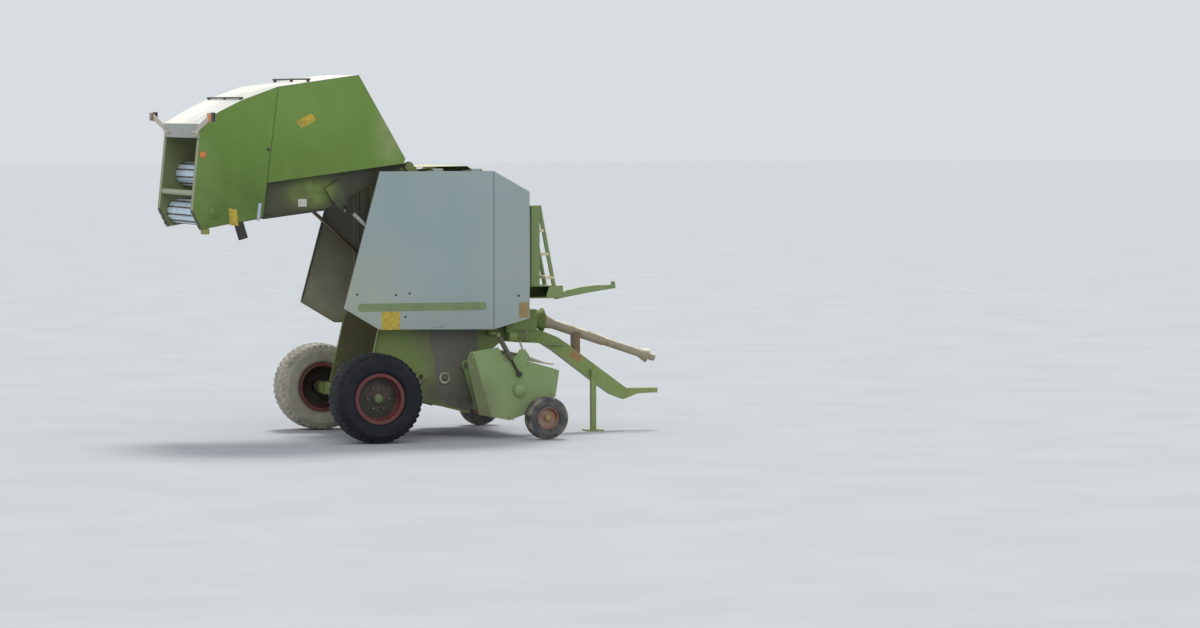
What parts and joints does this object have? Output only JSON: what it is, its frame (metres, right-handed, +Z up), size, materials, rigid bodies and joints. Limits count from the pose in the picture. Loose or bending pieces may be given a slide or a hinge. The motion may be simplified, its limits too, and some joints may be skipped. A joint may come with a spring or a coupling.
{
  "type": "round baler",
  "caption": "Towed fixed-chamber round baler parked on its stand, tailgate raised, with pick-up, drawbar, drive shaft and side doors.",
  "frame": {"origin": "middle of the overall box on the ground, tailgate raised as stored", "axes": "+X forward along the drawbar, +Y to the machine's left, +Z up"},
  "size_m": [4.8717, 2.39, 3.4757],
  "materials": {
    "green_paint": "satin, dusty",
    "grey_paint": "satin, dusty",
    "white_paint": "satin, dusty",
    "worn_steel": "worn by crop",
    "black_paint": "satin",
    "rod_chrome": "polished",
    "tyre_rubber": "dusty",
    "rim_red": "dull, dusty",
    "rim_orange": "dull, dusty",
    "lamp_red": "gloss",
    "guard_plastic": "matte",
    "bracket_red": "dull"
  },
  "bodies": {
    "chassis": {"side_walls": "green_paint", "cross_beams": "green_paint", "axle": "green_paint", "corner_panels": "grey_paint", "front_cover": "grey_paint", "top_cover": "grey_paint", "gearbox": "green_paint", "drawbar": "green_paint", "hitch_tongue": "green_paint", "pto_shaft": "guard_plastic", "pto_rest": "bracket_red", "ladder": "green_paint", "hose_arm": "green_paint", "feed_floor": "green_paint"},
    "tailgate": {"tailgate_walls": "green_paint", "tailgate_covers": "green_paint", "tailgate_skin": "white_paint", "tailgate_tubes": "green_paint", "tail_lamps": "lamp_red"},
    "barrel_right": {"cylinder_barrel_right": "black_paint"},
    "rod_right": {"cylinder_rod_right": "rod_chrome"},
    "barrel_left": {"cylinder_barrel_left": "black_paint"},
    "rod_left": {"cylinder_rod_left": "rod_chrome"},
    "door_right": {"side_door_right": "grey_paint"},
    "door_left": {"side_door_left": "grey_paint"},
    "front_roller_1": {"roller_front_1": "worn_steel"},
    "front_roller_2": {"roller_front_2": "worn_steel"},
    "front_roller_3": {"roller_front_3": "worn_steel"},
    "front_roller_4": {"roller_front_4": "worn_steel"},
    "front_roller_5": {"roller_front_5": "worn_steel"},
    "front_roller_6": {"roller_front_6": "worn_steel"},
    "front_roller_7": {"roller_front_7": "worn_steel"},
    "rear_roller_1": {"roller_rear_1": "worn_steel"},
    "rear_roller_2": {"roller_rear_2": "worn_steel"},
    "rear_roller_3": {"roller_rear_3": "worn_steel"},
    "rear_roller_4": {"roller_rear_4": "worn_steel"},
    "rear_roller_5": {"roller_rear_5": "worn_steel"},
    "rear_roller_6": {"roller_rear_6": "worn_steel"},
    "rear_roller_7": {"roller_rear_7": "worn_steel"},
    "wheel_right": {"tyre_right": "tyre_rubber", "rim_right": "rim_red"},
    "wheel_left": {"tyre_left": "tyre_rubber", "rim_left": "rim_red"},
    "pickup": {"pickup_frame": "green_paint", "pickup_bands": "worn_steel", "wind_guard": "green_paint"},
    "reel": {"pickup_reel": "worn_steel"},
    "gauge_wheel_right": {"gauge_tyre_right": "tyre_rubber", "gauge_rim_right": "rim_orange"},
    "gauge_wheel_left": {"gauge_tyre_left": "tyre_rubber", "gauge_rim_left": "rim_orange"},
    "lift_barrel_right": {"lift_barrel_right": "black_paint"},
    "lift_rod_right": {"lift_rod_right": "rod_chrome"},
    "lift_barrel_left": {"lift_barrel_left": "black_paint"},
    "lift_rod_left": {"lift_rod_left": "rod_chrome"},
    "stand": {"stand_leg": "green_paint"}
  },
  "joints": [
    {"name": "tailgate_hinge", "type": "hinge", "parent": "chassis", "child": "tailgate", "pos_m": [-0.30612, 0, 2.6], "axis": [0, 1, 0], "range_deg": [-60, 0]},
    {"name": "barrel_swing_right", "type": "hinge", "parent": "chassis", "child": "barrel_right", "pos_m": [0.25088, -0.735, 1.125], "axis": [0, 1, 0], "range_deg": [0, 11.88]},
    {"name": "rod_slide_right", "type": "slide", "parent": "barrel_right", "child": "rod_right", "axis": [-0.7389, 0, 0.6738], "range_m": [-0.699, 0]},
    {"name": "barrel_swing_left", "type": "hinge", "parent": "chassis", "child": "barrel_left", "pos_m": [0.25088, 0.735, 1.125], "axis": [0, 1, 0], "range_deg": [0, 11.88]},
    {"name": "rod_slide_left", "type": "slide", "parent": "barrel_left", "child": "rod_left", "axis": [-0.7389, 0, 0.6738], "range_m": [-0.699, 0]},
    {"name": "door_hinge_right", "type": "hinge", "parent": "chassis", "child": "door_right", "pos_m": [-0.10912, -0.775, 2.575], "axis": [-1, 0, 0], "range_deg": [0, 70]},
    {"name": "door_hinge_left", "type": "hinge", "parent": "chassis", "child": "door_left", "pos_m": [-0.10912, 0.775, 2.575], "axis": [1, 0, 0], "range_deg": [0, 70]},
    {"name": "front_roller_spin_1", "type": "hinge", "parent": "chassis", "child": "front_roller_1", "pos_m": [-0.19479, 0, 0.59863], "axis": [0, 1, 0], "continuous": true},
    {"name": "front_roller_spin_2", "type": "hinge", "parent": "chassis", "child": "front_roller_2", "pos_m": [-0.56098, 0, 0.57366], "axis": [0, 1, 0], "continuous": true},
    {"name": "front_roller_spin_3", "type": "hinge", "parent": "chassis", "child": "front_roller_3", "pos_m": [-0.15619, 0, 2.2995], "axis": [0, 1, 0], "continuous": true},
    {"name": "front_roller_spin_4", "type": "hinge", "parent": "chassis", "child": "front_roller_4", "pos_m": [0.16071, 0, 2.11432], "axis": [0, 1, 0], "continuous": true},
    {"name": "front_roller_spin_5", "type": "hinge", "parent": "chassis", "child": "front_roller_5", "pos_m": [0.37594, 0, 1.817], "axis": [0, 1, 0], "continuous": true},
    {"name": "front_roller_spin_6", "type": "hinge", "parent": "chassis", "child": "front_roller_6", "pos_m": [0.45287, 0, 1.45811], "axis": [0, 1, 0], "continuous": true},
    {"name": "front_roller_spin_7", "type": "hinge", "parent": "chassis", "child": "front_roller_7", "pos_m": [0.37844, 0, 1.09869], "axis": [0, 1, 0], "continuous": true},
    {"name": "rear_roller_spin_1", "type": "hinge", "parent": "tailgate", "child": "rear_roller_1", "pos_m": [-2.25278, 0, 2.1689], "axis": [0, 1, 0], "continuous": true},
    {"name": "rear_roller_spin_2", "type": "hinge", "parent": "tailgate", "child": "rear_roller_2", "pos_m": [-2.16585, 0, 2.52551], "axis": [0, 1, 0], "continuous": true},
    {"name": "rear_roller_spin_3", "type": "hinge", "parent": "tailgate", "child": "rear_roller_3", "pos_m": [-1.94241, 0, 2.8167], "axis": [0, 1, 0], "continuous": true},
    {"name": "rear_roller_spin_4", "type": "hinge", "parent": "tailgate", "child": "rear_roller_4", "pos_m": [-1.62046, 0, 2.99296], "axis": [0, 1, 0], "continuous": true},
    {"name": "rear_roller_spin_5", "type": "hinge", "parent": "tailgate", "child": "rear_roller_5", "pos_m": [-1.25476, 0, 3.02432], "axis": [0, 1, 0], "continuous": true},
    {"name": "rear_roller_spin_6", "type": "hinge", "parent": "tailgate", "child": "rear_roller_6", "pos_m": [-0.9075, 0, 2.90542], "axis": [0, 1, 0], "continuous": true},
    {"name": "rear_roller_spin_7", "type": "hinge", "parent": "tailgate", "child": "rear_roller_7", "pos_m": [-0.63776, 0, 2.65651], "axis": [0, 1, 0], "continuous": true},
    {"name": "wheel_spin_right", "type": "hinge", "parent": "chassis", "child": "wheel_right", "pos_m": [-0.74912, -1, 0.425], "axis": [0, 1, 0], "continuous": true},
    {"name": "wheel_spin_left", "type": "hinge", "parent": "chassis", "child": "wheel_left", "pos_m": [-0.74912, 1, 0.425], "axis": [0, 1, 0], "continuous": true},
    {"name": "pickup_lift", "type": "hinge", "parent": "chassis", "child": "pickup", "pos_m": [0.25088, 0, 0.7], "axis": [0, -1, 0], "range_deg": [0, 9]},
    {"name": "reel_spin", "type": "hinge", "parent": "pickup", "child": "reel", "pos_m": [0.70088, 0, 0.47], "axis": [0, 1, 0], "continuous": true},
    {"name": "gauge_spin_right", "type": "hinge", "parent": "pickup", "child": "gauge_wheel_right", "pos_m": [0.93088, -1.06, 0.205], "axis": [0, 1, 0], "continuous": true},
    {"name": "gauge_spin_left", "type": "hinge", "parent": "pickup", "child": "gauge_wheel_left", "pos_m": [0.93088, 1.06, 0.205], "axis": [0, 1, 0], "continuous": true},
    {"name": "lift_swing_right", "type": "hinge", "parent": "chassis", "child": "lift_barrel_right", "pos_m": [0.47888, -0.96, 1], "axis": [0, -1, 0], "range_deg": [0, 6.1]},
    {"name": "lift_slide_right", "type": "slide", "parent": "lift_barrel_right", "child": "lift_rod_right", "axis": [0.4872, 0, -0.8733], "range_m": [-0.0557, 0]},
    {"name": "lift_swing_left", "type": "hinge", "parent": "chassis", "child": "lift_barrel_left", "pos_m": [0.47888, 0.96, 1], "axis": [0, -1, 0], "range_deg": [0, 6.1]},
    {"name": "lift_slide_left", "type": "slide", "parent": "lift_barrel_left", "child": "lift_rod_left", "axis": [0.4872, 0, -0.8733], "range_m": [-0.0557, 0]},
    {"name": "stand_fold", "type": "hinge", "parent": "chassis", "child": "stand", "pos_m": [1.73088, -0.101, 0.56], "axis": [0, 1, 0], "range_deg": [0, 104]}
  ],
  "couplings": [
    {"joint": "barrel_swing_right", "follows": "tailgate_hinge", "ratio": -0.19767},
    {"joint": "rod_slide_right", "follows": "tailgate_hinge", "m_per_rad": 0.66704},
    {"joint": "barrel_swing_left", "follows": "tailgate_hinge", "ratio": -0.19767},
    {"joint": "rod_slide_left", "follows": "tailgate_hinge", "m_per_rad": 0.66704},
    {"joint": "front_roller_spin_1", "follows": "front_roller_spin_4", "ratio": 1},
    {"joint": "front_roller_spin_2", "follows": "front_roller_spin_4", "ratio": 1},
    {"joint": "front_roller_spin_3", "follows": "front_roller_spin_4", "ratio": 1},
    {"joint": "front_roller_spin_5", "follows": "front_roller_spin_4", "ratio": 1},
    {"joint": "front_roller_spin_6", "follows": "front_roller_spin_4", "ratio": 1},
    {"joint": "front_roller_spin_7", "follows": "front_roller_spin_4", "ratio": 1},
    {"joint": "rear_roller_spin_1", "follows": "front_roller_spin_4", "ratio": 1},
    {"joint": "rear_roller_spin_2", "follows": "front_roller_spin_4", "ratio": 1},
    {"joint": "rear_roller_spin_3", "follows": "front_roller_spin_4", "ratio": 1},
    {"joint": "rear_roller_spin_4", "follows": "front_roller_spin_4", "ratio": 1},
    {"joint": "rear_roller_spin_5", "follows": "front_roller_spin_4", "ratio": 1},
    {"joint": "rear_roller_spin_6", "follows": "front_roller_spin_4", "ratio": 1},
    {"joint": "rear_roller_spin_7", "follows": "front_roller_spin_4", "ratio": 1},
    {"joint": "reel_spin", "follows": "front_roller_spin_4", "ratio": 0.6},
    {"joint": "lift_swing_right", "follows": "pickup_lift", "ratio": 0.67538},
    {"joint": "lift_slide_right", "follows": "pickup_lift", "m_per_rad": -0.35254},
    {"joint": "lift_swing_left", "follows": "pickup_lift", "ratio": 0.67538},
    {"joint": "lift_slide_left", "follows": "pickup_lift", "m_per_rad": -0.35254}
  ]
}
